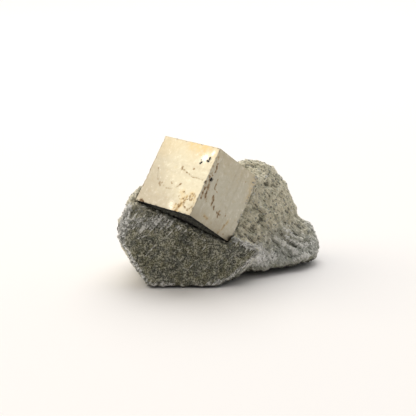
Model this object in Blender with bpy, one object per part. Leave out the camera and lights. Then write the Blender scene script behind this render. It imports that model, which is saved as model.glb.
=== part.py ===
"""Pyrite cube on its matrix: one natural crystal standing out of a broken block of grey-green marl.

The crystal is one node and the rock is the other. The rock is made the way it broke: a few convex
blocks, each given by its own corners, are joined, roughened a little, stood on a flat foot and then
hollowed by the crystal, so that it holds the crystal's mould. Sizes are in millimetres until the
last step. The origin is on the flat foot, +Z is up, and the crystal leans out towards -Y.
"""

import math

import bmesh
import bpy
from mathutils import Euler, Matrix, Vector, noise

MM = 0.001

# The crystal: edge lengths along its own axes, how it leans, and its corner that juts out furthest.
CRYSTAL_EDGES = Vector((22.2, 21.0, 21.4))
CRYSTAL_LEAN = Euler([math.radians(angle) for angle in (-36.4, 0.5, -43.2)])
CRYSTAL_FRONT_CORNER = Vector((-9.15, -24.0, 25.05))
CRYSTAL_EDGE_ROUND = 0.12
SEAT_GAP = 0.3

# The rock's blocks, as corners of convex lumps.
FRONT_BLOCK = (
    # the broken front face, clockwise from its left tip
    (-31.0, -13.2, 15.2),
    (-27.2, -12.5, 18.4),
    (-22.2, -12.0, 21.9),
    (-16.6, -12.5, 21.4),
    (-9.3, -12.5, 18.6),
    (2.3, -11.0, 12.9),
    (7.9, -11.5, 12.6),
    (11.4, -12.2, 10.1),
    (5.6, -14.2, 4.3),
    (1.8, -15.2, 2.2),
    (-2.7, -16.2, 0.6),
    (-22.6, -16.4, 0.6),
    (-23.5, -16.0, 2.2),
    (-28.5, -14.0, 12.3),
    # the left flank, up to the crystal's lower left corner
    (-30.7, -11.0, 18.3),
    (-28.4, -9.0, 23.2),
    (-26.9, -8.0, 25.5),
    (-23.7, -6.0, 29.6),
    (-26.6, -8.0, 5.8),
    # behind and under the crystal
    (-27.0, 6.0, 21.0),
    (-26.0, 8.0, 6.0),
    (7.0, -4.0, 11.0),
    # the foot
    (-20.0, 8.0, 0.0),
    (-21.6, -14.0, 0.0),
    (-3.0, -14.0, 0.0),
    (4.5, -5.0, 0.0),
)
BACK_BLOCK = (
    # the left flank and the low wall behind the crystal
    (-23.5, -6.0, 29.0),
    (-26.5, -6.0, 24.0),
    (-26.0, 5.0, 22.0),
    (-19.5, 5.0, 27.5),
    (-13.0, 15.0, 24.0),
    (-2.0, 20.5, 25.0),
    (8.0, 17.0, 29.5),
    # the skyline to the right of the crystal, from the top down
    (5.6, 6.0, 32.1),
    (9.9, 8.0, 32.6),
    (13.0, 8.0, 32.4),
    (15.6, 9.0, 30.6),
    (19.0, 9.0, 26.6),
    (21.6, 10.0, 22.2),
    (23.6, 10.0, 16.8),
    # the slope that the crystal's right edge stands on
    (11.4, -0.5, 29.2),
    (2.6, -9.8, 12.0),
    (5.5, -8.0, 3.4),
    (12.7, -7.4, 3.8),
    (17.6, -4.4, 3.6),
    (22.0, 1.0, 9.0),
    # the lower lip, undercut
    (6.0, -6.8, 1.2),
    (12.7, -6.8, 1.2),
    (16.5, -4.0, 1.2),
    (21.3, -2.2, 1.2),
    # the back
    (15.5, 19.5, 20.0),
    (22.5, 18.5, 9.0),
    (1.0, 24.6, 12.0),
    (-19.0, 18.5, 15.0),
    (-25.5, 12.0, 12.0),
    # the foot
    (-20.5, 8.0, 0.0),
    (-16.0, 17.5, 0.0),
    (1.0, 22.5, 0.0),
    (20.5, 16.5, 0.0),
    (21.0, 3.0, 0.0),
    (13.0, -1.0, 0.0),
    (7.0, -2.0, 0.0),
)
RIGHT_TOE = (
    (25.8, 10.0, 13.2),
    (28.9, 10.0, 11.0),
    (30.5, 8.0, 7.5),
    (31.4, 7.0, 4.8),
    (29.2, 3.4, 1.3),
    (22.0, -2.0, 1.3),
    (17.0, -4.2, 3.6),
    (25.5, -0.6, 4.2),
    (21.6, 1.2, 9.8),
    (17.0, 3.0, 15.5),
    (26.0, 15.0, 0.0),
    (27.0, 16.0, 6.0),
    (19.0, 17.0, 14.0),
    (27.5, 7.0, 0.0),
    (20.0, 3.0, 0.0),
    (14.0, 10.0, 0.0),
)

# The broken surface: the size of the cells it is rebuilt from, and (wavelength, height) of its unevenness.
CELL_SIZE = 1.3
UNEVENNESS = ((9.0, 0.5), (3.5, 0.2))

# The blocks reach this far below the foot before the ground, a box of this size, cuts them level.
FOOT_SUNK = 1.5
GROUND_SIZE = 100.0


def clear_scene():
    for old in list(bpy.data.objects):
        bpy.data.objects.remove(old)


def new_object(name, shape):
    """An object whose mesh is this bmesh, in millimetres."""
    mesh = bpy.data.meshes.new(name)
    shape.to_mesh(mesh)
    shape.free()
    made = bpy.data.objects.new(name, mesh)
    bpy.context.scene.collection.objects.link(made)
    return made


def paint(target, name, colour, roughness, metallic):
    material = bpy.data.materials.new(name)
    material.use_nodes = True
    surface = material.node_tree.nodes["Principled BSDF"]
    surface.inputs["Base Color"].default_value = (*colour, 1.0)
    surface.inputs["Roughness"].default_value = roughness
    surface.inputs["Metallic"].default_value = metallic
    target.data.materials.append(material)


def apply_modifiers(target):
    """Gives target the mesh that its modifiers make, and takes them off."""
    graph = bpy.context.evaluated_depsgraph_get()
    target.data = bpy.data.meshes.new_from_object(target.evaluated_get(graph))
    target.modifiers.clear()


def combine(target, shape, operation):
    """Joins this bmesh to target, or cuts it out of target."""
    other = new_object("other", shape)
    modifier = target.modifiers.new("combine", "BOOLEAN")
    modifier.operation = operation
    modifier.solver = "EXACT"
    modifier.object = other
    apply_modifiers(target)
    bpy.data.objects.remove(other)


def crystal_place():
    """Where the crystal's own axes lie. The jutting corner is its +X, -Y, -Z corner."""
    lean = CRYSTAL_LEAN.to_matrix()
    to_centre = Vector((-CRYSTAL_EDGES.x, CRYSTAL_EDGES.y, CRYSTAL_EDGES.z)) / 2
    centre = CRYSTAL_FRONT_CORNER + lean @ to_centre
    return Matrix.Translation(centre) @ lean.to_4x4()


def crystal_box(grow=0.0):
    """A closed box in the crystal's place, larger by grow on every side."""
    shape = bmesh.new()
    bmesh.ops.create_cube(shape, size=1.0)
    edges = CRYSTAL_EDGES + 2 * Vector((grow, grow, grow))
    shape.transform(crystal_place() @ Matrix.Diagonal((*edges, 1.0)))
    return shape


def ground_box():
    """A closed box that fills everything below the foot."""
    shape = bmesh.new()
    bmesh.ops.create_cube(shape, size=1.0)
    shape.transform(Matrix.Translation((0.0, 0.0, -GROUND_SIZE / 2)) @ Matrix.Scale(GROUND_SIZE, 4))
    return shape


def block(corners):
    """The convex lump that spans these corners. Those on the foot are sunk, to be cut off level later."""
    shape = bmesh.new()
    for x, y, z in corners:
        shape.verts.new((x, y, z if z > 0 else -FOOT_SUNK))
    hull = bmesh.ops.convex_hull(shape, input=shape.verts[:])
    inner = {item for item in hull["geom_interior"] if isinstance(item, bmesh.types.BMVert)}
    bmesh.ops.delete(shape, geom=list(inner), context="VERTS")
    bmesh.ops.recalc_face_normals(shape, faces=shape.faces[:])
    return shape


def even_out(target):
    """Rebuilds the surface from small cells of one size, so that it can be roughened evenly."""
    modifier = target.modifiers.new("cells", "REMESH")
    modifier.mode = "VOXEL"
    modifier.voxel_size = CELL_SIZE
    apply_modifiers(target)


def roughen(target):
    """Moves each vertex along its normal by smooth noise, so that no broken face is quite flat."""
    shape = bmesh.new()
    shape.from_mesh(target.data)
    shape.normal_update()
    for vertex in shape.verts:
        rise = sum(
            height * noise.noise(vertex.co / wavelength)
            for wavelength, height in UNEVENNESS
        )
        vertex.co += vertex.normal * rise
    shape.to_mesh(target.data)
    shape.free()


def make_rock():
    rock = new_object("matrix_rock", block(FRONT_BLOCK))
    combine(rock, block(BACK_BLOCK), "UNION")
    combine(rock, block(RIGHT_TOE), "UNION")
    even_out(rock)
    roughen(rock)
    combine(rock, ground_box(), "DIFFERENCE")
    combine(rock, crystal_box(SEAT_GAP), "DIFFERENCE")
    paint(rock, "marl", (0.24, 0.235, 0.19), 0.9, 0.0)
    return rock


def make_crystal():
    shape = crystal_box()
    bmesh.ops.bevel(
        shape,
        geom=shape.edges[:],
        offset=CRYSTAL_EDGE_ROUND,
        segments=1,
        affect="EDGES",
    )
    crystal = new_object("pyrite_crystal", shape)
    paint(crystal, "pyrite", (0.62, 0.54, 0.38), 0.3, 1.0)
    return crystal


def main():
    clear_scene()
    for made in (make_rock(), make_crystal()):
        made.data.transform(Matrix.Scale(MM, 4))


main()
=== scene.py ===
import math

import bmesh
import bpy
import numpy as np
from mathutils import Matrix, Vector


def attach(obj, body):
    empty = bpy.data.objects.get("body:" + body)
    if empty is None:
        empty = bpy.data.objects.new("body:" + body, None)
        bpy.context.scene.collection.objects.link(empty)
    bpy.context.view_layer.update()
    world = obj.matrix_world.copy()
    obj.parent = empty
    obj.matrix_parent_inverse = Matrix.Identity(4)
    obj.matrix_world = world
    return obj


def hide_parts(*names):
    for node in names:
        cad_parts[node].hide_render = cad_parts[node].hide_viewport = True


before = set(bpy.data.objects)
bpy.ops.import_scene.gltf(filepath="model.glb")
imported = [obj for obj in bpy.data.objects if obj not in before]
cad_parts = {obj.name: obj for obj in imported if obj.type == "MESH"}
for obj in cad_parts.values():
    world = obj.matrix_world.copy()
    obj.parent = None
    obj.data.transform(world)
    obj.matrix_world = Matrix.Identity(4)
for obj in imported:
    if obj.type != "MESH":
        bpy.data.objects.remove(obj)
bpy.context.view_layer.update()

mm = 0.001


class Wire:
    # a node's output, which takes part in sums as a number does
    def __init__(self, graph, socket):
        self.graph = graph
        self.socket = socket

    def math(self, operation, *others):
        return self.graph.math(operation, self, *others)

    def __add__(self, other):
        return self.graph.math("ADD", self, other)

    def __radd__(self, other):
        return self.graph.math("ADD", other, self)

    def __sub__(self, other):
        return self.graph.math("SUBTRACT", self, other)

    def __rsub__(self, other):
        return self.graph.math("SUBTRACT", other, self)

    def __mul__(self, other):
        return self.graph.math("MULTIPLY", self, other)

    def __rmul__(self, other):
        return self.graph.math("MULTIPLY", other, self)

    def __truediv__(self, other):
        return self.graph.math("DIVIDE", self, other)

    def __rtruediv__(self, other):
        return self.graph.math("DIVIDE", other, self)


class Graph:
    # a node tree; add makes any node from its type, its settings and the values of its sockets
    def __init__(self, tree):
        self.tree = tree

    def pick(self, sockets, key):
        if isinstance(key, int):
            return sockets[key]
        return next(socket for socket in sockets if socket.name == key and socket.enabled)

    def add(self, kind, settings=None, values=None, output=0):
        node = self.tree.nodes.new(kind)
        for name, value in (settings or {}).items():
            setattr(node, name, value)
        for key, value in (values or {}).items():
            socket = self.pick(node.inputs, key)
            if isinstance(value, Wire):
                self.tree.links.new(value.socket, socket)
            else:
                socket.default_value = value
        return Wire(self, self.pick(node.outputs, output)) if node.outputs else None

    def math(self, operation, *values):
        return self.add("ShaderNodeMath", {"operation": operation}, dict(enumerate(values)))

    def vector(self, operation, *values, output="Vector"):
        settings = {"operation": operation}
        return self.add("ShaderNodeVectorMath", settings, dict(enumerate(values)), output)

    def scaled(self, vector, amount):
        values = {0: vector, "Scale": amount}
        return self.add("ShaderNodeVectorMath", {"operation": "SCALE"}, values, "Vector")

    def dot(self, first, second):
        return self.vector("DOT_PRODUCT", first, second, output="Value")

    def split(self, vector):
        first = self.add("ShaderNodeSeparateXYZ", {}, {0: vector})
        return [Wire(self, socket) for socket in first.socket.node.outputs]

    def join(self, x, y, z):
        return self.add("ShaderNodeCombineXYZ", {}, {0: x, 1: y, 2: z})

    def smooth(self, value, low, high):
        values = {"Value": value, "From Min": low, "From Max": high}
        return self.add("ShaderNodeMapRange", {"interpolation_type": "SMOOTHSTEP"}, values, "Result")

    def drawnOut(self, place, way, amount):
        # a pattern read at these places runs long in the way given
        along = self.scaled(self.join(*way), self.dot(place, way) * amount)
        return self.vector("SUBTRACT", place, along)

    def noise(self, place, size, detail, roughness=0.5):
        values = {
            "Vector": place,
            "Scale": 1 / size,
            "Detail": detail,
            "Roughness": roughness,
        }
        return self.add("ShaderNodeTexNoise", {}, values)

    def swing(self, place, size, detail, roughness=0.5):
        # noise that runs from about -1 to 1
        return (self.noise(place, size, detail, roughness) - 0.5) * 3.2

    def lineNoise(self, across, pitch):
        values = {"W": across, "Scale": 1 / pitch, "Detail": 3}
        return self.add("ShaderNodeTexNoise", {"noise_dimensions": "1D"}, values)

    def cells(self, place, size, feature="F1"):
        values = {"Vector": place, "Scale": 1 / size}
        return self.add("ShaderNodeTexVoronoi", {"feature": feature}, values, "Distance")

    def blend(self, factor, first, second):
        # the Mix node's sockets 6 and 7, and its output 2, are the colour ones
        values = {0: factor, 6: first, 7: second}
        return self.add("ShaderNodeMix", {"data_type": "RGBA"}, values, 2)

    def bump(self, height, distance, strength):
        values = {"Height": height, "Distance": distance, "Strength": strength}
        return self.add("ShaderNodeBump", {}, values)

    def attribute(self, name, output="Fac"):
        return self.add("ShaderNodeAttribute", {"attribute_name": name}, {}, output)


def surfaceGraph(name):
    material = bpy.data.materials.new(name)
    material.use_nodes = True
    material.node_tree.nodes.clear()
    return material, Graph(material.node_tree)


def finishSurface(graph, values):
    surface = graph.add("ShaderNodeBsdfPrincipled", {}, values)
    graph.add("ShaderNodeOutputMaterial", {}, {"Surface": surface})


def geometryGraph(name, inputs):
    # inputs gives each input's name and kind; returns the graph and a wire for each
    tree = bpy.data.node_groups.new(name, "GeometryNodeTree")
    tree.interface.new_socket("Geometry", in_out="OUTPUT", socket_type="NodeSocketGeometry")
    tree.interface.new_socket("Geometry", in_out="INPUT", socket_type="NodeSocketGeometry")
    for label, kind in inputs.items():
        tree.interface.new_socket(label, in_out="INPUT", socket_type="NodeSocket" + kind)
    graph = Graph(tree)
    entry = graph.add("NodeGroupInput").socket.node
    return graph, {socket.name: Wire(graph, socket) for socket in entry.outputs if socket.name}


def finishGeometry(graph, geometry, material):
    whole = graph.add("GeometryNodeRealizeInstances", {}, {0: geometry})
    painted = graph.add("GeometryNodeSetMaterial", {}, {"Geometry": whole, "Material": material})
    graph.add("NodeGroupOutput", {}, {0: painted})


def storeValue(graph, geometry, name, value, kind="FLOAT", domain="POINT"):
    settings = {"data_type": kind, "domain": domain}
    values = {"Geometry": geometry, "Name": name, "Value": value}
    return graph.add("GeometryNodeStoreNamedAttribute", settings, values)


def readValue(graph, name):
    settings = {"data_type": "FLOAT"}
    return graph.add("GeometryNodeInputNamedAttribute", settings, {"Name": name}, "Attribute")


def randomValue(graph, kind, low, high, seed):
    values = {"Min": low, "Max": high, "Seed": seed}
    return graph.add("FunctionNodeRandomValue", {"data_type": kind}, values, "Value")


def newPiece(name, mesh=None):
    made = bpy.data.objects.new(name, mesh or bpy.data.meshes.new(name))
    bpy.context.scene.collection.objects.link(made)
    return made


def applyModifiers(target):
    # leaves the target with the plain mesh that its modifiers make
    view = bpy.context.evaluated_depsgraph_get()
    mesh = bpy.data.meshes.new_from_object(
        target.evaluated_get(view), preserve_all_data_layers=True, depsgraph=view
    )
    target.modifiers.clear()
    target.data = mesh


def runTree(target, graph, values):
    modifier = target.modifiers.new(graph.tree.name, "NODES")
    modifier.node_group = graph.tree
    for item in graph.tree.interface.items_tree:
        if item.in_out == "INPUT" and item.name in values:
            modifier[item.identifier] = values[item.name]
    applyModifiers(target)


def mergedCopy(node, name):
    # a CAD node's mesh is loose triangles, so the copy's doubles are merged
    shape = bmesh.new()
    shape.from_mesh(node.data)
    bmesh.ops.remove_doubles(shape, verts=shape.verts[:], dist=0.001 * mm)
    mesh = bpy.data.meshes.new(name)
    shape.to_mesh(mesh)
    shape.free()
    return newPiece(name, mesh)


def readRows(source, name):
    values = np.empty(len(source) * 3, dtype=np.float32)
    source.foreach_get(name, values)
    return values.reshape(-1, 3).astype(float)


def readPlaces(mesh):
    return readRows(mesh.vertices, "co")


def readNormals(mesh):
    return readRows(mesh.vertex_normals, "vector")


def writePlaces(mesh, places):
    mesh.vertices.foreach_set("co", places.astype(np.float32).ravel())
    mesh.update()


def writeValue(mesh, name, values):
    attribute = mesh.attributes.new(name, "FLOAT", "POINT")
    attribute.data.foreach_set("value", values.astype(np.float32))


def smoothStep(value, low, high):
    part = np.clip((value - low) / (high - low), 0, 1)
    return part * part * (3 - 2 * part)


def toSegment(places, start, end):
    # distance of each place from the straight line between start and end
    start = np.array(start, dtype=float)
    along = np.array(end, dtype=float) - start
    length = max(float(along @ along), 1e-12)
    part = np.clip((places - start) @ along / length, 0, 1)
    return np.linalg.norm(places - start - part[:, None] * along, axis=1)


def crystalFrame(node):
    # the crystal's own axes, its centre and half its edges, read from the CAD solid
    largest = sorted(node.data.polygons, key=lambda face: -face.area)[:12]
    normals = [face.normal.copy() for face in largest]
    right = max(normals, key=lambda normal: normal.x - normal.y)
    top = max(normals, key=lambda normal: normal.z)
    axes = Matrix((right, top.cross(right), top))
    local = readPlaces(node.data) @ np.array(axes).T
    low, high = local.min(axis=0), local.max(axis=0)
    centre = axes.transposed() @ Vector((low + high) / 2)
    return axes, centre, Vector((high - low) / 2)


crystalAxes, crystalCentre, crystalHalf = crystalFrame(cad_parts["pyrite_crystal"])


def inCrystalAxes(places):
    # the places measured from the crystal's centre, along its own axes
    return (places - np.array(crystalCentre)) @ np.array(crystalAxes).T


def roomToCrystal(places):
    # how far each place is from the crystal's faces, less than 0 inside
    return (np.abs(inCrystalAxes(places)) - np.array(crystalHalf)).max(axis=1)


pyriteLook = {
    "metal": (0.442, 0.418, 0.336, 1),
    "honey": (0.478, 0.376, 0.21, 1),
    "grey": (0.33, 0.30, 0.245, 1),
    "dull": (0.275, 0.23, 0.155, 1),
    "ochre": (0.33, 0.205, 0.085, 1),
    "rust": (0.10, 0.052, 0.024, 1),
    "black": (0.006, 0.005, 0.004, 1),
    "pale": (0.84, 0.82, 0.76, 1),
    "roughness": 0.25,
    "linePitch": 0.3 * mm,
    "streakPitch": 2.2 * mm,
    "cloud": 7 * mm,
    "dapple": 1.5 * mm,
    "mottle": 1.3 * mm,
    "patchy": 0.9 * mm,
    "dots": 0.9 * mm,
    "fine": 0.55 * mm,
    "speck": 0.42 * mm,
    "bump": 0.022 * mm,
}


def pyriteMaterial():
    material, graph = surfaceGraph("pyrite")
    place = graph.attribute("facePlace", "Vector")
    across = graph.attribute("lineAcross")
    stain = graph.attribute("stain")
    dark = graph.attribute("dark")
    gleam = graph.attribute("gleam")
    honey = graph.attribute("honey")
    worn = graph.attribute("worn")
    x, _, z = graph.split(place)
    cloud = graph.noise(place, pyriteLook["cloud"], 4, 0.55)
    mottle = graph.noise(place, pyriteLook["mottle"], 5, 0.62)
    speck = graph.noise(place, pyriteLook["speck"], 3, 0.6)
    lines = graph.lineNoise(across, pyriteLook["linePitch"])
    streaks = graph.lineNoise(across, pyriteLook["streakPitch"])
    film = graph.smooth(0 - z * 0.7 - x * 0.8 + (cloud - 0.5) * 10 * mm, -3.5 * mm, 12 * mm)
    patchy = graph.swing(place, pyriteLook["patchy"], 4, 0.65)
    fine = graph.swing(place, pyriteLook["fine"], 3, 0.6)
    spots = worn * graph.smooth(fine + patchy * 0.6, 0.25, 1.0)
    ragged = graph.smooth(stain, 0.04, 0.35) * (1 - honey * 0.65)
    broken = stain + (patchy * 0.75 + fine * 0.3) * ragged + spots * 0.8
    halo = graph.smooth(broken, 0.25, 0.7)
    core = graph.smooth(broken, 0.62, 1.05)
    warmth = graph.smooth(z + (cloud - 0.5) * 12 * mm, 3 * mm, 11 * mm) * 0.28
    colour = graph.blend(film * 0.9, pyriteLook["metal"], pyriteLook["grey"])
    colour = graph.blend(warmth + graph.smooth(mottle, 0.5, 0.8) * 0.25, colour, pyriteLook["honey"])
    colour = graph.blend(graph.smooth(streaks, 0.5, 0.75) * 0.35, colour, pyriteLook["grey"])
    dapple = graph.swing(place, pyriteLook["dapple"], 5, 0.7) + fine * 0.35
    colour = graph.blend(graph.smooth(dapple, 0.0, 1.2) * 0.45, colour, pyriteLook["pale"])
    colour = graph.blend(graph.smooth(0 - dapple, 0.0, 1.2) * 0.5, colour, pyriteLook["dull"])
    colour = graph.blend(honey * graph.smooth(mottle, 0.3, 0.6), colour, pyriteLook["honey"])
    # painted highlight: pale glints laid where gleam is marked
    colour = graph.blend(gleam * graph.smooth(speck, 0.3, 0.6), colour, pyriteLook["pale"])
    colour = graph.blend(halo * 0.72, colour, pyriteLook["ochre"])
    colour = graph.blend(core * 0.85, colour, pyriteLook["rust"])
    # black where marked dark: real pits, and painted shade on the crystal's underside
    pitsAndUnderShade = graph.smooth(dark + (speck - 0.5) * dark, 0.35, 0.7)
    low = graph.smooth(0 - z + (cloud - 0.5) * 8 * mm, 4 * mm, 12 * mm)
    foot = low * graph.smooth(x, 8 * mm, 11 * mm)
    colour = graph.blend(foot * 0.6, colour, pyriteLook["dull"])
    dots = graph.smooth(0 - graph.cells(place, pyriteLook["dots"]), -0.24, -0.06)
    dots = dots * graph.smooth(patchy, -0.1, 0.8)
    colour = graph.blend(dots * (0.2 + foot * 0.5), colour, pyriteLook["ochre"])
    colour = graph.blend(pitsAndUnderShade, colour, pyriteLook["black"])
    height = lines * 0.3 + streaks * 0.5 + mottle * 0.7 + speck * 0.3 + gleam * speck * 2.5 - core * 0.8
    normal = graph.bump(height, pyriteLook["bump"], 0.6)
    finishSurface(graph, {
        "Base Color": colour,
        "Metallic": (1 - halo * 0.25 - core * 0.5) * (1 - pitsAndUnderShade),
        "Roughness": pyriteLook["roughness"] + mottle * 0.12 + film * 0.05 + halo * 0.25 + pitsAndUnderShade * 0.5,
        "Normal": normal,
    })
    return material


crystalCut = {
    "Cells": 120,
    "Line Pitch": 0.9 * mm,
    "Line Depth": 0.02 * mm,
    "Hill Size": 5.5 * mm,
    "Hill Height": 0.05 * mm,
    "Nick Size": 0.9 * mm,
    "Nick Depth": 0.16 * mm,
    "Rim Width": 0.45 * mm,
    "Rim Depth": 0.03 * mm,
}


def cubeTree(material):
    # a cube of growth steps: each face has its lines at right angles to its neighbours' lines
    kinds = {"Half Edges": "Vector", "Cells": "Int", "Rotation": "Rotation", "Centre": "Vector"}
    kinds.update({name: "Float" for name in crystalCut if name != "Cells"})
    graph, wires = geometryGraph("pyriteCube", kinds)
    count = wires["Cells"] + 1
    edges = graph.scaled(wires["Half Edges"], 2.0)
    values = {"Size": edges, "Vertices X": count, "Vertices Y": count, "Vertices Z": count}
    cube = graph.add("GeometryNodeMeshCube", {}, values, "Mesh")
    place = graph.add("GeometryNodeInputPosition")
    normal = graph.add("GeometryNodeInputNormal")
    facing = graph.split(graph.vector("ABSOLUTE", normal))
    x, y, z = graph.split(place)
    across = y * facing[0] + z * facing[1] + x * facing[2]
    kept = storeValue(graph, cube, "facePlace", place, "FLOAT_VECTOR")
    kept = storeValue(graph, kept, "lineAcross", across)
    lines = graph.lineNoise(across, wires["Line Pitch"])
    hills = graph.noise(place, wires["Hill Size"], 1)
    inside = graph.split(graph.vector("SUBTRACT", wires["Half Edges"], graph.vector("ABSOLUTE", place)))
    shorter = inside[0].math("MINIMUM", inside[1])
    longer = inside[0].math("MAXIMUM", inside[1])
    toEdge = shorter.math("MAXIMUM", longer.math("MINIMUM", inside[2]))
    rim = 1 - graph.smooth(toEdge, 0.0, wires["Rim Width"])
    nicks = rim * graph.smooth(graph.noise(place, wires["Nick Size"], 3), 0.53, 0.72)
    depth = lines * wires["Line Depth"] + hills * wires["Hill Height"] + nicks * wires["Nick Depth"]
    moved = graph.add("GeometryNodeSetPosition", {}, {
        "Geometry": kept,
        "Offset": graph.scaled(normal, 0 - depth - rim * wires["Rim Depth"]),
    })
    placed = graph.add("GeometryNodeTransform", {}, {
        "Geometry": moved,
        "Translation": wires["Centre"],
        "Rotation": wires["Rotation"],
    })
    finishGeometry(graph, placed, material)
    return graph


# Marks on the crystal's two open faces, in millimetres from the face's middle: across, then up.
# Each stroke has a start, an end and a width, then how much it carries of each finish, and of gleam, a
# painted highlight.
leftStrokes = (
    ((7.1, 6.5), (7.5, 6.8), 1.15, {"gleam": 1.3}),
    ((9.2, 8.4), (9.6, 8.9), 0.5, {"gleam": 1.0}),
    ((6.5, 5.0), (6.8, 5.4), 0.42, {"dark": 0.8, "depth": 0.12}),
    ((6.2, 6.2), (6.4, 5.9), 0.32, {"dark": 0.6}),
    ((7.0, 5.9), (7.4, 5.8), 0.25, {"dark": 0.5}),
    ((8.5, 6.2), (9.1, 6.1), 0.45, {"dark": 0.75, "depth": 0.12}),
    ((9.1, 6.7), (8.9, 7.3), 0.42, {"dark": 0.75, "depth": 0.12}),
    ((9.8, 6.9), (9.9, 6.8), 0.28, {"dark": 0.5}),
    ((10.2, 5.7), (10.4, 5.9), 0.26, {"dark": 0.5}),
    ((1.0, 9.8), (6.8, 9.9), 1.6, {"honey": 1.0}),
    ((5.6, 7.6), (6.2, 9.6), 0.9, {"honey": 1.0, "stain": 0.3}),
    ((0.6, 2.4), (1.8, 1.6), 0.7, {"stain": 0.5, "depth": 0.02}),
    ((4.9, 2.8), (5.2, 2.8), 0.4, {"stain": 0.55}),
    ((2.4, 1.6), (5.6, 0.5), 0.28, {"stain": 0.46, "depth": 0.04}),
    ((5.6, 0.5), (10.3, 0.2), 0.26, {"stain": 0.42, "depth": 0.03}),
    ((-1.0, -2.6), (1.6, -4.1), 0.3, {"stain": 0.5, "depth": 0.04}),
    ((1.6, -4.1), (2.8, -2.4), 0.34, {"stain": 0.5, "depth": 0.04}),
    ((-8.0, 0.6), (-7.2, -2.2), 0.26, {"stain": 0.42, "depth": 0.05}),
    ((-7.2, -2.2), (-4.0, -4.8), 0.26, {"stain": 0.42, "depth": 0.05}),
    ((-4.0, -4.8), (0.6, -4.6), 0.28, {"stain": 0.42, "depth": 0.05}),
    ((-5.0, -3.2), (-3.0, -4.4), 0.6, {"stain": 0.34}),
    ((7.1, -5.6), (6.3, -8.4), 0.55, {"stain": 0.56, "honey": 1.0, "depth": 0.03}),
    ((6.3, -8.0), (5.3, -10.6), 1.05, {"stain": 0.54, "honey": 1.0, "depth": 0.03}),
    ((4.4, -8.6), (4.2, -10.6), 0.5, {"stain": 0.45, "honey": 0.8}),
    ((8.6, -4.4), (9.8, -6.0), 0.9, {"stain": 0.3, "honey": 0.8}),
    ((4.8, -4.6), (5.8, -6.6), 0.9, {"stain": 0.26, "honey": 0.7}),
    ((8.0, -8.8), (9.6, -9.2), 0.4, {"stain": 0.7}),
    ((2.7, -8.8), (3.4, -10.6), 0.95, {"gleam": 0.5}),
    ((-9.2, -10.2), (-8.0, -10.5), 0.5, {"stain": 0.95, "depth": 0.06}),
    ((-10.9, 1.9), (-10.9, -0.5), 0.26, {"stain": 0.75}),
    ((-10.9, -5.0), (-10.9, -6.0), 0.22, {"stain": 0.7}),
    ((-11.0, 10.5), (11.0, 10.5), 0.2, {"stain": 0.34}),
)
leftRings = (
    ((5.3, -5.6), 1.1, 0.5, {"stain": 0.42}),
    ((9.0, -5.2), 0.9, 0.5, {"stain": 0.5}),
    ((8.8, -7.4), 1.7, 0.42, {"stain": 0.42}),
)
rightStrokes = (
    ((-8.4, 1.5), (-8.4, 1.9), 0.5, {"dark": 1.0, "depth": 0.32}),
    ((-8.6, 6.6), (-8.0, 4.2), 0.42, {"stain": 0.8, "depth": 0.04}),
    ((-9.6, 8.6), (-9.1, 6.4), 0.5, {"stain": 0.42}),
    ((-10.1, 5.2), (-10.0, 2.4), 0.4, {"stain": 0.4}),
    ((-5.9, 2.9), (-5.5, 0.1), 0.26, {"stain": 0.95, "dark": 0.4, "depth": 0.06}),
    ((-5.5, 0.1), (-3.4, -0.5), 0.24, {"stain": 0.62}),
    ((-9.8, 0.6), (-9.3, -2.8), 0.55, {"stain": 0.68, "depth": 0.04}),
    ((-8.5, 0.2), (-7.6, -3.8), 0.62, {"stain": 0.78, "depth": 0.05}),
    ((-9.9, -2.4), (-9.0, -4.6), 0.42, {"stain": 0.6}),
    ((-7.0, -3.4), (-6.6, -4.8), 0.36, {"stain": 0.6}),
    ((-4.4, -2.0), (-4.1, -2.9), 0.6, {"stain": 1.0, "dark": 0.35, "depth": 0.07}),
    ((-4.1, -3.5), (-3.8, -4.4), 0.4, {"stain": 0.85}),
    ((-2.6, -4.6), (-2.3, -5.2), 0.4, {"stain": 0.85}),
    ((-0.1, -5.3), (1.3, -5.4), 0.5, {"stain": 0.85, "depth": 0.04}),
    ((0.6, -4.6), (0.5, -6.2), 0.42, {"stain": 0.8}),
    ((-4.8, -8.3), (-3.2, -8.6), 0.5, {"stain": 0.5, "honey": 1.0}),
    ((5.8, -5.6), (4.9, -7.8), 0.42, {"stain": 0.6, "honey": 0.8}),
    ((4.8, -8.2), (3.6, -10.4), 0.4, {"stain": 0.52, "honey": 0.6}),
    ((3.5, -4.2), (3.9, -4.9), 0.26, {"stain": 0.62}),
    ((6.6, -7.4), (6.2, -9.6), 0.3, {"stain": 0.45}),
    ((5.6, 7.3), (5.9, 7.6), 0.4, {"stain": 0.45}),
    ((-10.6, 10.55), (10.6, 10.55), 0.14, {"dark": 0.5}),
    ((9.0, 9.6), (10.3, 4.0), 1.5, {"stain": 0.27, "honey": 0.6}),
    ((-9.2, 3.4), (-9.0, -3.6), 1.2, {"stain": 0.36}),
    ((-3.5, -9.6), (8.5, -9.9), 0.9, {"stain": 0.2}),
)

# Where the faces are worn, in millimetres along the crystal's axes: middle, reach and strength.
leftWear = (
    ((7.5, 0, -7.0), (4.0, math.inf, 4.0), 1.0),
    ((-3.0, 0, -3.5), (5.0, math.inf, 3.0), 0.6),
)
rightWear = (
    ((0, -9.5, 0), (math.inf, 2.6, math.inf), 1.0),
    ((0, 0, -11.0), (math.inf, math.inf, 5.0), 1.0),
)


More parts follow.
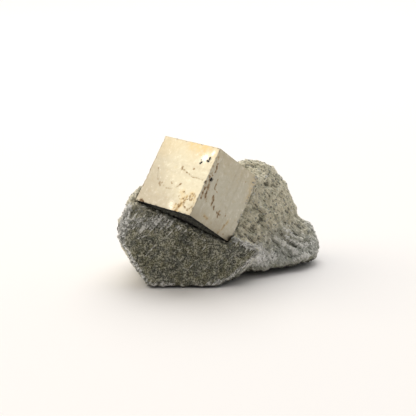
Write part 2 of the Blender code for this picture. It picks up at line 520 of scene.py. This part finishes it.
def strokeFinishes(local, left, right):
    # how much of each finish, and of the painted highlight gleam, the strokes and rings lay on each
    # point of the two open faces
    finishes = {name: np.zeros(len(local)) for name in ("stain", "dark", "gleam", "honey", "depth")}
    wobble = np.sin(local[:, [1, 2, 0]] * 2.3) * 0.07 + np.sin(local[:, [2, 0, 1]] * 1.3 + 1) * 0.1
    onLeft = (local + wobble)[:, [0, 2]]
    onRight = (local + wobble)[:, [1, 2]]

    def lay(shown, distance, width, carried):
        amount = np.exp(-((distance / width) ** 2)) * shown
        for name, value in carried.items():
            finishes[name] = np.maximum(finishes[name], value * amount)

    for start, end, width, carried in leftStrokes:
        lay(left, toSegment(onLeft, start, end), width, carried)
    for start, end, width, carried in rightStrokes:
        lay(right, toSegment(onRight, start, end), width, carried)
    for middle, radius, width, carried in leftRings:
        distance = np.abs(np.linalg.norm(onLeft - np.array(middle), axis=1) - radius)
        lay(left, distance, width, carried)
    return finishes


def wornFinish(local, left, right):
    # the hidden faces are evenly worn, the open ones in patches
    worn = 0.4 * (~left & ~right)
    for shown, patches in ((left, leftWear), (right, rightWear)):
        most = np.zeros(len(local))
        for middle, reach, strength in patches:
            away = (((local - np.array(middle)) / np.array(reach)) ** 2).sum(axis=1)
            most = np.maximum(most, strength * np.exp(-away))
        worn += most * shown
    return worn


def pressMarks(mesh):
    # sinks the marks into the crystal's open faces, and marks where its finishes and grains lie, and
    # its underside as painted shade
    places = readPlaces(mesh)
    normals = readNormals(mesh)
    local = inCrystalAxes(places) / mm
    half = np.array(crystalHalf) / mm
    turned = normals @ np.array(crystalAxes).T
    left = turned[:, 1] < -0.5
    right = turned[:, 0] > 0.5
    finishes = strokeFinishes(local, left, right)
    finishes["worn"] = wornFinish(local, left, right)
    corner = np.linalg.norm(local - half, axis=1)
    heel = np.abs(np.abs(local[:, :2]) - half[:2]).max(axis=1)
    lowHeel = (local[:, 1] > 0) * (1 - smoothStep(heel, 0.2, 0.9)) * (local[:, 2] < 9)
    finishes["lapped"] = np.maximum(1 - smoothStep(corner, 1.2, 3.0), 0.5 * lowHeel) * right
    inFrom = (half[:2] - local[:, :2] * (1, -1)).min(axis=1)
    clinging = smoothStep(inFrom, 0.9, 2.2) * (1 - smoothStep(inFrom, 5.0, 7.0))
    finishes["under"] = clinging * (turned[:, 2] < -0.5)
    # painted shade: the crystal's underside is marked dark, so it is drawn black
    finishes["dark"] = np.maximum(finishes["dark"], smoothStep(-turned[:, 2], 0.5, 0.9))
    places -= normals * (finishes.pop("depth") * mm)[:, None]
    writePlaces(mesh, places)
    for name, values in finishes.items():
        writeValue(mesh, name, values)


def makeCrystal():
    crystal = newPiece("pyriteCube")
    values = dict(crystalCut)
    values["Half Edges"] = crystalHalf
    values["Centre"] = crystalCentre
    values["Rotation"] = crystalAxes.transposed().to_euler()
    runTree(crystal, cubeTree(pyriteMaterial()), values)
    pressMarks(crystal.data)
    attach(crystal, "root")
    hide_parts("pyrite_crystal")
    print("crystal:", len(crystal.data.polygons), "faces")
    return crystal


# Which way the crests run, and which way the pale seams on the front run.
marlFlow = (0.62, 0.30, -0.72)
seamFlow = (0.66, 0.15, 0.74)

marlLook = {
    "olive": (0.215, 0.203, 0.115, 1),
    "slate": (0.15, 0.153, 0.127, 1),
    "tan": (0.64, 0.59, 0.445, 1),
    "bluish": (0.39, 0.395, 0.355, 1),
    "green": (0.36, 0.37, 0.27, 1),
    "crust": (0.80, 0.785, 0.745, 1),
    "straw": (0.82, 0.78, 0.63, 1),
    "chalk": (0.94, 0.93, 0.91, 1),
    "dirtAndShade": (0.032, 0.032, 0.02, 1),
    "lowland": 12 * mm,
    "patch": 2.4 * mm,
    "dust": 2.1 * mm,
    "grain": 0.7 * mm,
    "fibre": 0.62 * mm,
    "streak": 0.6 * mm,
    "fine": 0.4 * mm,
    "salt": 0.38 * mm,
    "bump": 0.2 * mm,
}


def marlMaterial():
    material, graph = surfaceGraph("marl")
    place = graph.add("ShaderNodeTexCoord", {}, {}, "Object")
    front = graph.attribute("front")
    pale = graph.attribute("pale")
    bulge = graph.attribute("bulge")
    swell = graph.attribute("swell")
    shade = graph.attribute("shade")
    x, _, z = graph.split(place)
    patch = graph.noise(place, marlLook["patch"], 5, 0.62)
    dust = graph.swing(place, marlLook["dust"], 3, 0.6)
    fine = graph.swing(place, marlLook["fine"], 2)
    stretched = graph.drawnOut(place, marlFlow, (1 - front) * 0.8)
    grain = graph.swing(stretched, marlLook["grain"], 3, 0.6)
    salt = graph.swing(stretched, marlLook["salt"], 1)
    fibre = graph.swing(stretched, marlLook["fibre"], 3, 0.6)
    streak = graph.swing(graph.drawnOut(place, seamFlow, 0.92), marlLook["streak"], 2)
    lowland = graph.swing(place, marlLook["lowland"], 4, 0.6)
    low = 1 - graph.smooth(z - x * 0.25 + lowland * 6 * mm, 2 * mm, 12 * mm)
    sides = graph.blend(low, marlLook["tan"], marlLook["bluish"])
    sides = graph.blend(graph.smooth(patch, 0.45, 0.68) * 0.6, sides, marlLook["green"])
    mossy = graph.smooth(patch, 0.35, 0.65) * 0.8
    frontFace = graph.blend(mossy, marlLook["slate"], marlLook["olive"])
    colour = graph.blend(front, sides, frontFace)
    # painted highlight on crests and painted shade in hollows, from the relief marks bulge and swell,
    # mixed with random grain tone
    broad = dust * (0.6 + front * 0.7) + bulge * 0.45 + swell * (1 - front * 0.6) * 0.95
    light = broad + grain * (0.8 + front * 0.8) + salt * (1.0 + front * 1.4) + fibre * (1 - front) * 1.4
    bright = graph.blend(low * (1 - front), marlLook["straw"], marlLook["crust"])
    raised = graph.smooth(light, 0.1, 1.7) * (0.85 - front * 0.33)
    colour = graph.blend(raised, colour, bright)
    sunken = graph.smooth(0 - light, 0.1, 1.6) * (0.7 + front * 0.2)
    colour = graph.blend(sunken, colour, marlLook["dirtAndShade"])
    crust = graph.smooth(pale + (patch - 0.5) * 1.2 + grain * 0.1 + streak, 0.5, 0.85)
    colour = graph.blend(crust * 0.85, colour, marlLook["crust"])
    chalky = crust * graph.smooth(pale + streak * 0.5, 0.85, 1.3)
    colour = graph.blend(chalky, colour, marlLook["chalk"])
    # painted shade: the sides turn darker and olive along their lowest few millimetres
    foot = (1 - graph.smooth(z, 2.6 * mm, 4.2 * mm)) * (1 - front) * (1 - crust)
    colour = graph.blend(foot * 0.5, colour, marlLook["olive"])
    # painted shade: dark right below the crystal and on the block's underside
    colour = graph.blend(shade * 0.9, colour, marlLook["dirtAndShade"])
    finishSurface(graph, {
        "Base Color": colour,
        "Roughness": 0.88 + grain * 0.06,
        "Normal": graph.bump(grain * 0.5 + fine * 0.3, marlLook["bump"], 1.0),
    })
    return material


marlBreak = {
    "Wave Size": 8.0 * mm,
    "Wave Height": 0.55 * mm,
    "Lump Size": 2.2 * mm,
    "Lump Height": 0.9 * mm,
    "Crest Size": 2.8 * mm,
    "Crest Height": 0.7 * mm,
    "Grain Size": 0.85 * mm,
    "Grain Height": 0.21 * mm,
    "Warp Size": 3.0 * mm,
    "Warp Height": 1.6 * mm,
    "Dent Size": 1.5 * mm,
    "Seat Dent": 1.2 * mm,
}


def marlTree(material):
    # breaks the smooth block up: grain all over, waves, lumps and crests strongest off the front face
    graph, wires = geometryGraph("marlBreak", {name: "Float" for name in marlBreak})
    place = graph.add("GeometryNodeInputPosition")
    normal = graph.add("GeometryNodeInputNormal")
    front = readValue(graph, "front")
    calm = readValue(graph, "calm")
    seat = readValue(graph, "seat")
    rough = 1 - front * 0.75
    values = {"Vector": place, "Scale": 1 / wires["Warp Size"]}
    warp = graph.add("ShaderNodeTexNoise", {}, values, "Color")
    bent = graph.vector("ADD", place, graph.scaled(warp, wires["Warp Height"]))
    flow = graph.drawnOut(bent, marlFlow, 0.72)
    wave = graph.swing(place, wires["Wave Size"], 2)
    lump = 0.45 - graph.cells(bent, wires["Lump Size"], "SMOOTH_F1")
    crest = 0.35 - graph.swing(flow, wires["Crest Size"], 4, 0.62).math("ABSOLUTE")
    grain = graph.swing(place, wires["Grain Size"], 3, 0.6)
    height = (
        wave * wires["Wave Height"] * rough
        + lump * wires["Lump Height"] * rough
        + crest * wires["Crest Height"] * rough
        + grain * wires["Grain Height"] * (1 + rough)
    )
    dent = graph.swing(place, wires["Dent Size"], 2).math("ABSOLUTE") * wires["Seat Dent"]
    moved = graph.add("GeometryNodeSetPosition", {}, {
        "Geometry": wires["Geometry"],
        "Offset": graph.scaled(normal, height * calm - dent * seat),
    })
    finishGeometry(graph, moved, material)
    return graph


# Pale seams and crusts in millimetres: start, end, half width, strength.
paleSeams = (
    ((2.5, -11.5, 14.3), (9.5, -11.9, 11.2), 1.1, 0.95),
    ((11.5, -8.5, 9.5), (12.0, -7.2, 6.6), 2.4, 1.35),
    ((9.5, -9.5, 6.0), (15.5, -5.5, 6.0), 1.6, 1.05),
    ((-28.0, -12.5, 17.0), (-24.5, -12.6, 19.6), 0.8, 0.7),
    ((-24.5, -12.6, 19.4), (-16.3, -13.1, 20.0), 2.2, 0.78),
    ((-16.3, -13.1, 20.0), (-5.0, -13.0, 14.0), 0.4, 0.5),
    # the two strips along the left edge are partly pale crust and partly painted highlight, where that
    # side catches the light
    ((-29.6, -13.0, 15.6), (-27.8, -9.4, 23.0), 1.35, 2.1),
    ((-29.6, -13.6, 14.0), (-22.8, -15.8, 2.5), 0.7, 1.2),
    ((-24.3, -13.9, 14.8), (-22.8, -13.8, 15.7), 0.35, 0.9),
    ((-23.0, -16.2, 0.8), (-15.0, -16.2, 0.8), 1.0, 1.0),
    ((-15.0, -16.2, 0.6), (-3.0, -16.2, 0.8), 0.5, 0.8),
    ((-4.0, -16.0, 1.0), (2.0, -15.2, 2.2), 0.9, 1.0),
    ((2.0, -15.2, 2.2), (10.5, -12.4, 9.5), 0.7, 1.0),
    ((16.6, -2.3, 10.9), (22.9, -0.6, 5.8), 0.6, 0.7),
    ((18.9, 0.5, 13.2), (24.3, 2.9, 8.5), 0.6, 0.7),
    ((19.8, 0.0, 10.8), (24.3, 1.4, 7.0), 0.6, 0.7),
    ((24.3, 1.4, 7.0), (29.0, 5.0, 6.0), 1.2, 0.6),
    ((12.9, 2.6, 28.9), (13.6, 2.6, 28.5), 0.7, 0.6),
    ((9.0, -2.0, 26.0), (13.5, -2.4, 17.5), 0.9, 0.45),
)

# Ridges and hollows of their own on the right block: start, end, half width, height.
folds = (
    ((12.9, 2.5, 28.8), (13.6, 2.5, 28.4), 0.7, 0.45),
    ((12.2, 1.6, 27.5), (13.8, 1.6, 26.8), 1.0, -0.8),
    ((16.6, -2.3, 10.9), (22.9, -0.6, 5.8), 0.7, 0.5),
    ((18.9, 0.5, 13.2), (24.3, 2.9, 8.5), 0.7, 0.5),
    ((19.8, 0.0, 10.8), (24.3, 1.4, 7.0), 0.6, 0.45),
    ((17.8, -1.0, 11.5), (23.6, 0.4, 6.8), 0.6, -0.35),
    ((9.5, -2.4, 25.0), (15.5, -2.0, 16.0), 1.2, 0.4),
    ((16.5, 1.0, 22.0), (19.5, 2.5, 15.0), 1.4, -0.4),
)

# Lines along which the bedding has split into splinters: start, end, half width, strength.
splitSeams = (
    ((-31.0, -12.5, 15.5), (-28.0, -9.0, 24.0), 1.6, 1.0),
    ((-28.0, -12.0, 18.0), (-16.0, -12.0, 21.0), 1.8, 1.0),
    ((-27.0, -11.0, 22.0), (-22.0, -11.0, 24.0), 1.6, 1.0),
    ((-29.5, -14.0, 11.0), (-25.0, -16.0, 3.5), 0.8, 1.0),
)

# How finely the block is cut, its room round the crystal, and how its rim is lifted off the floor.
# The pad that it stands on, and the lifts, are in millimetres.
marlShape = {
    "cell": 0.33 * mm,
    "clearance": 0.1 * mm,
    "seatSwell": 0.16 * mm,
    "padStart": (-15.0, 3.0, 0.0),
    "padEnd": (6.0, 10.0, 0.0),
    "padEdge": (4.0, 8.5),
    "lift": 0.66,
    "rightLift": 1.25,
    "liftFades": 5 * mm,
}


def neighbourMeans(values, edges, rounds):
    # each round moves every value halfway to its neighbours' mean
    count = np.bincount(edges.ravel(), minlength=len(values))[:, None]
    for _ in range(rounds):
        total = np.stack([
            np.bincount(edges[:, 0], values[edges[:, 1], axis], len(values))
            + np.bincount(edges[:, 1], values[edges[:, 0], axis], len(values))
            for axis in range(3)
        ], axis=1)
        values = (values + total / np.maximum(count, 1)) / 2
    return values


def liftRim(places):
    # the block stands on a pad along its middle; its rim is clear of the floor all round
    flat = places / mm
    flat[:, 2] = 0
    toPad = toSegment(flat, marlShape["padStart"], marlShape["padEnd"])
    outside = smoothStep(toPad, *marlShape["padEdge"])
    x = flat[:, 0]
    wobble = 0.2 * np.sin(x * 0.9) * np.sin(x * 0.37 + 2) + 0.12 * np.sin(x * 2.3)
    further = smoothStep(x, 5.0, 8.5) * (1 - 0.6 * smoothStep(x, 9.0, 18.0))
    lift = outside * (marlShape["lift"] + wobble + marlShape["rightLift"] * further) * mm
    places[:, 2] += lift * np.clip(1 - places[:, 2] / marlShape["liftFades"], 0, 1)
    return outside


def prepareMarl(mesh):
    # marks the front face, lifts the rim, folds the right block, and sets how freely each point
    # may move when the surface is broken up
    places = readPlaces(mesh)
    normals = readNormals(mesh)
    room = roomToCrystal(places)
    front = smoothStep(-normals[:, 1], 0.55, 0.85)
    front *= 1 - smoothStep(places[:, 1], -10.4 * mm, -9.2 * mm)
    outside = liftRim(places)
    for start, end, width, height in folds:
        distance = toSegment(places / mm, start, end)
        places += normals * (np.exp(-((distance / width) ** 2)) * height * mm)[:, None]
    free = np.maximum(smoothStep(places[:, 2], 0.0, 0.6 * mm), outside * 0.5)
    calm = smoothStep(room, 0.2 * mm, 1.1 * mm) * free
    atSeat = 1 - smoothStep(room, 0.4 * mm, 0.9 * mm)
    places += normals * (atSeat * marlShape["seatSwell"])[:, None]
    writePlaces(mesh, places)
    writeValue(mesh, "front", front)
    writeValue(mesh, "calm", calm)
    writeValue(mesh, "seat", 1 - smoothStep(room, 0.3 * mm, 1.4 * mm))


def clearOfCrystal(places, gap):
    # pushes any point inside the crystal's room out through the nearest face
    local = inCrystalAxes(places)
    half = np.array(crystalHalf) + gap
    inside = np.abs(local) < half
    caught = inside.all(axis=1)
    nearest = (half - np.abs(local)).argmin(axis=1)
    rows = np.nonzero(caught)[0]
    columns = nearest[rows]
    local[rows, columns] = np.where(local[rows, columns] < 0, -1, 1) * half[columns]
    return local @ np.array(crystalAxes) + np.array(crystalCentre)


def markRelief(mesh, places, normals):
    # how far each point stands out from the surface near it, and that from the surface far round it,
    # for painting highlight on crests and shade in hollows
    edges = np.empty(len(mesh.edges) * 2, dtype=np.int32)
    mesh.edges.foreach_get("vertices", edges)
    edges = edges.reshape(-1, 2)
    near = neighbourMeans(places, edges, 6)
    far = neighbourMeans(near, edges, 40)
    for name, rise in (("bulge", places - near), ("swell", near - far)):
        height = (rise * normals).sum(axis=1)
        writeValue(mesh, name, np.clip(height / height.std(), -3, 3) / 2)


def markShade(mesh, places, normals):
    # painted shade: dark right below the crystal, and on the block's own underside
    local = inCrystalAxes(places)
    beyond = np.abs(local) - np.array(crystalHalf)
    below = local[:, 2] + crystalHalf.z < 0.1 * mm
    below = below * (1 - smoothStep(beyond[:, :2].max(axis=1), -0.9 * mm, -0.1 * mm))
    close = 1 - smoothStep(beyond.max(axis=1), 0.4 * mm, 1.3 * mm)
    sole = smoothStep(-normals[:, 2], 0.35, 0.75)
    sole *= 1 - smoothStep(places[:, 2], 2.2 * mm, 3.6 * mm)
    writeValue(mesh, "shade", np.maximum(close * below, sole))


def strongestSeam(places, seams, full, gone):
    # the strongest seam at each place, full and gone at so many half widths from its line
    amount = np.zeros(len(places))
    for start, end, width, strength in seams:
        distance = toSegment(places / mm, start, end)
        here = strength * (1 - smoothStep(distance, full * width, gone * width))
        amount = np.maximum(amount, here)
    return amount


def markSeams(mesh, places):
    # the pale seams, and where chips, crust, ledge grains and splinters may stand
    room = roomToCrystal(places)
    bare = smoothStep(room, 0.7 * mm, 1.4 * mm) * smoothStep(places[:, 2], 1.0 * mm, 1.8 * mm)
    pale = strongestSeam(places, paleSeams, 0.3, 1.7)
    split = strongestSeam(places, splitSeams, 0.5, 1.5)
    front = np.empty(len(places), dtype=np.float32)
    mesh.attributes["front"].data.foreach_get("value", front)
    ledge = smoothStep(front, 0.2, 0.6) * (1 - smoothStep(room, 0.5 * mm, 1.5 * mm))
    writeValue(mesh, "open", bare)
    writeValue(mesh, "pale", pale)
    writeValue(mesh, "crusted", bare * smoothStep(pale, 0.35, 0.8))
    writeValue(mesh, "ledge", ledge)
    writeValue(mesh, "split", bare * split)


def finishMarl(mesh):
    # keeps the broken surface out of the crystal and the floor, then marks where its finishes lie
    places = clearOfCrystal(readPlaces(mesh), marlShape["clearance"])
    places[:, 2] = np.maximum(places[:, 2], 0.0)
    writePlaces(mesh, places)
    normals = readNormals(mesh)
    markRelief(mesh, places, normals)
    markShade(mesh, places, normals)
    markSeams(mesh, places)


def makeMarl():
    marl = mergedCopy(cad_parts["matrix_rock"], "marlBlock")
    remesh = marl.modifiers.new("cells", "REMESH")
    remesh.mode = "VOXEL"
    remesh.voxel_size = marlShape["cell"]
    applyModifiers(marl)
    prepareMarl(marl.data)
    runTree(marl, marlTree(marlMaterial()), marlBreak)
    finishMarl(marl.data)
    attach(marl, "root")
    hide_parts("matrix_rock")
    print("marl:", len(marl.data.polygons), "faces")
    return marl


# Grains, crust and splinters: what they stand on and where, how many to the square metre, their
# size, shape and turn, and how dark and how light they are.
looseGrains = {
    "seatGrains": {
        "ground": "crystal",
        "mask": "lapped",
        "Density": 4.5e6,
        "Size": 0.27 * mm,
        "Shape": (1.2, 0.9, 0.6),
        "Spin": 3.1,
        "Dark": 0.25,
        "Light": 0.8,
        "Seed": 7,
    },
    # painted shade: the grains under the crystal are toned almost black
    "underGrains": {
        "ground": "crystal",
        "mask": "under",
        "Density": 4.0e6,
        "Size": 0.3 * mm,
        "Shape": (1.3, 0.9, 0.7),
        "Spin": 3.1,
        "Dark": 0.0,
        "Light": 0.12,
        "Seed": 15,
    },
    "marlChips": {
        "ground": "marl",
        "mask": "open",
        "Density": 0.45e6,
        "Size": 0.28 * mm,
        "Shape": (1.3, 0.9, 0.38),
        "Spin": 3.1,
        "Dark": 0.2,
        "Light": 0.66,
        "Seed": 4,
    },
    "ledgeGrains": {
        "ground": "marl",
        "mask": "ledge",
        "Density": 2.2e6,
        "Size": 0.4 * mm,
        "Shape": (1.3, 0.9, 0.8),
        "Spin": 3.1,
        "Dark": 0.15,
        "Light": 0.6,
        "Seed": 12,
    },
    "crustGrains": {
        "ground": "marl",
        "mask": "crusted",
        "Density": 3.2e6,
        "Size": 0.34 * mm,
        "Shape": (1.1, 0.9, 0.7),
        "Spin": 3.1,
        "Dark": 0.6,
        "Light": 1.0,
        "Seed": 9,
    },
    "splinters": {
        "ground": "marl",
        "mask": "split",
        "Density": 1.1e6,
        "Size": 0.3 * mm,
        "Shape": (2.9, 0.5, 0.45),
        "Spin": 0.7,
        "Dark": 0.05,
        "Light": 1.0,
        "Seed": 2,
    },
}

grainLook = {
    "lie": (0.72, 0.1, 0.69),  # which way a grain's long side lies
    "growth": (0.45, 1.3),  # the smallest and the largest grain, in times its size
    "speck": 0.4 * mm,
    "bump": 0.1 * mm,
}


def grainMaterial():
    material, graph = surfaceGraph("marlGrain")
    place = graph.add("ShaderNodeTexCoord", {}, {}, "Object")
    tone = graph.attribute("tone")
    front = graph.attribute("front")
    speck = graph.noise(place, grainLook["speck"], 3, 0.6)
    low = graph.blend(front, marlLook["bluish"], marlLook["slate"])
    colour = graph.blend(graph.smooth(tone, 0.0, 0.5), marlLook["dirtAndShade"], low)
    pale = graph.smooth(tone + (speck - 0.5) * 0.5, 0.45, 1.0) * (1 - front * 0.6)
    colour = graph.blend(pale, colour, marlLook["crust"])
    finishSurface(graph, {
        "Base Color": colour,
        "Roughness": 0.75 + speck * 0.2,
        "Normal": graph.bump(speck, grainLook["bump"], 0.8),
    })
    return material


def grainTree(name, mask, material):
    # few-faced grains standing on the surface wherever the mask is strong
    kinds = {
        "Density": "Float",
        "Size": "Float",
        "Shape": "Vector",
        "Spin": "Float",
        "Dark": "Float",
        "Light": "Float",
        "Seed": "Int",
    }
    graph, wires = geometryGraph(name, kinds)
    points = graph.add("GeometryNodeDistributePointsOnFaces", {}, {
        "Mesh": wires["Geometry"],
        "Density": wires["Density"] * readValue(graph, mask),
        "Seed": wires["Seed"],
    }, "Points")
    standing = Wire(graph, points.socket.node.outputs["Rotation"])
    lying = graph.add("FunctionNodeAlignRotationToVector", {"axis": "X", "pivot_axis": "Z"}, {
        "Rotation": standing,
        "Vector": grainLook["lie"],
    })
    most = graph.join(wires["Spin"] * 0.25, wires["Spin"] * 0.25, wires["Spin"])
    turn = randomValue(graph, "FLOAT_VECTOR", graph.scaled(most, -1.0), most, wires["Seed"])
    turned = graph.add("FunctionNodeRotateRotation", {"rotation_space": "LOCAL"}, {
        "Rotation": lying,
        "Rotate By": turn,
    })
    growth = randomValue(graph, "FLOAT", *grainLook["growth"], wires["Seed"] + 1)
    ball = {"Radius": wires["Size"], "Subdivisions": 1}
    grain = graph.add("GeometryNodeMeshIcoSphere", {}, ball, "Mesh")
    placed = graph.add("GeometryNodeInstanceOnPoints", {}, {
        "Points": points,
        "Instance": grain,
        "Rotation": turned,
        "Scale": graph.scaled(wires["Shape"], growth),
    })
    tone = randomValue(graph, "FLOAT", wires["Dark"], wires["Light"], wires["Seed"] + 2)
    toned = storeValue(graph, placed, "tone", tone, domain="INSTANCE")
    finishGeometry(graph, toned, material)
    return graph


def makeGrains(name, sizes, ground, material):
    grains = newPiece(name, ground.data.copy())
    runTree(grains, grainTree(name, sizes["mask"], material), sizes)
    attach(grains, "root")
    print(name + ":", len(grains.data.polygons), "faces")


studio = {
    "cameraPlace": (-0.004, -0.334, 0.1214),
    "cameraDown": 16.9,
    "cameraRoll": -0.41,
    "lens": 99.5,
    "sensor": 36,
    "nearest": 0.01,
    "furthest": 20,
    "floor": (0.905, 0.885, 0.877, 1),
    "floorHalf": 1.3,
}

# Each light: place, size, watts, colour, and what it points at.
lights = {
    "keyLight": ((0.12, 0.55, 1.08), 1.25, 9.2, (1.0, 0.985, 0.96), (0, 0, 0)),
    "sideLight": ((-1.0, 0.05, 0.78), 1.1, 5.6, (1.0, 0.91, 0.76), (0, 0, 0.03)),
}

# The pale room's colour, and how strong its light is: all round, then what each part adds.
paleRoom = {
    "colour": (1, 0.99, 0.975, 1),
    "around": 0.04,
    "behind": 0.42,
    "above": 0.34,
    "horizon": 0.62,
}


def makeCamera(scene):
    lens = bpy.data.cameras.new("camera")
    lens.lens = studio["lens"]
    lens.sensor_width = studio["sensor"]
    lens.clip_start = studio["nearest"]
    lens.clip_end = studio["furthest"]
    camera = bpy.data.objects.new("camera", lens)
    scene.collection.objects.link(camera)
    turn = Matrix.Rotation(math.radians(90 - studio["cameraDown"]), 4, "X")
    roll = Matrix.Rotation(math.radians(studio["cameraRoll"]), 4, "Z")
    camera.matrix_world = Matrix.Translation(studio["cameraPlace"]) @ turn @ roll
    scene.camera = camera


def makeLights(scene):
    for name, (place, size, watts, colour, target) in lights.items():
        lamp = bpy.data.lights.new(name, "AREA")
        lamp.shape = "DISK"
        lamp.size = size
        lamp.energy = watts
        lamp.color = colour
        holder = bpy.data.objects.new(name, lamp)
        scene.collection.objects.link(holder)
        aim = (Vector(target) - Vector(place)).to_track_quat("-Z", "Y")
        holder.matrix_world = Matrix.Translation(place) @ aim.to_matrix().to_4x4()


def makeFloor():
    half = studio["floorHalf"]
    mesh = bpy.data.meshes.new("floor")
    corners = [(-half, -half, 0), (half, -half, 0), (half, half, 0), (-half, half, 0)]
    mesh.from_pydata(corners, [], [(0, 1, 2, 3)])
    floor = newPiece("floor", mesh)
    material, graph = surfaceGraph("paperFloor")
    finishSurface(graph, {"Base Color": studio["floor"], "Roughness": 0.9})
    mesh.materials.append(material)


def makeSky(scene):
    # brightest behind the object along the horizon, dimmest low on the viewer's side
    world = bpy.data.worlds.new("room")
    world.use_nodes = True
    world.node_tree.nodes.clear()
    scene.world = world
    graph = Graph(world.node_tree)
    direction = graph.add("ShaderNodeTexCoord", {}, {}, "Generated")
    _, y, z = graph.split(direction)
    behind = graph.smooth(y, -0.7, 0.6) * paleRoom["behind"]
    above = graph.smooth(z, 0.1, 0.9) * paleRoom["above"]
    horizon = (1 - graph.smooth(z, 0.12, 0.3)) * graph.smooth(y, -0.6, -0.1) * paleRoom["horizon"]
    strength = paleRoom["around"] + behind + above + horizon
    surface = graph.add("ShaderNodeBackground", {}, {"Color": paleRoom["colour"], "Strength": strength})
    graph.add("ShaderNodeOutputWorld", {}, {"Surface": surface})


def makeStudio():
    scene = bpy.context.scene
    scene.view_settings.view_transform = "Standard"
    makeCamera(scene)
    makeLights(scene)
    makeFloor()
    makeSky(scene)
    print("studio: camera and", len(lights), "lights")


makeStudio()
grounds = {"crystal": makeCrystal(), "marl": makeMarl()}
marlGrain = grainMaterial()
for grainName, grainSizes in looseGrains.items():
    makeGrains(grainName, grainSizes, grounds[grainSizes["ground"]], marlGrain)
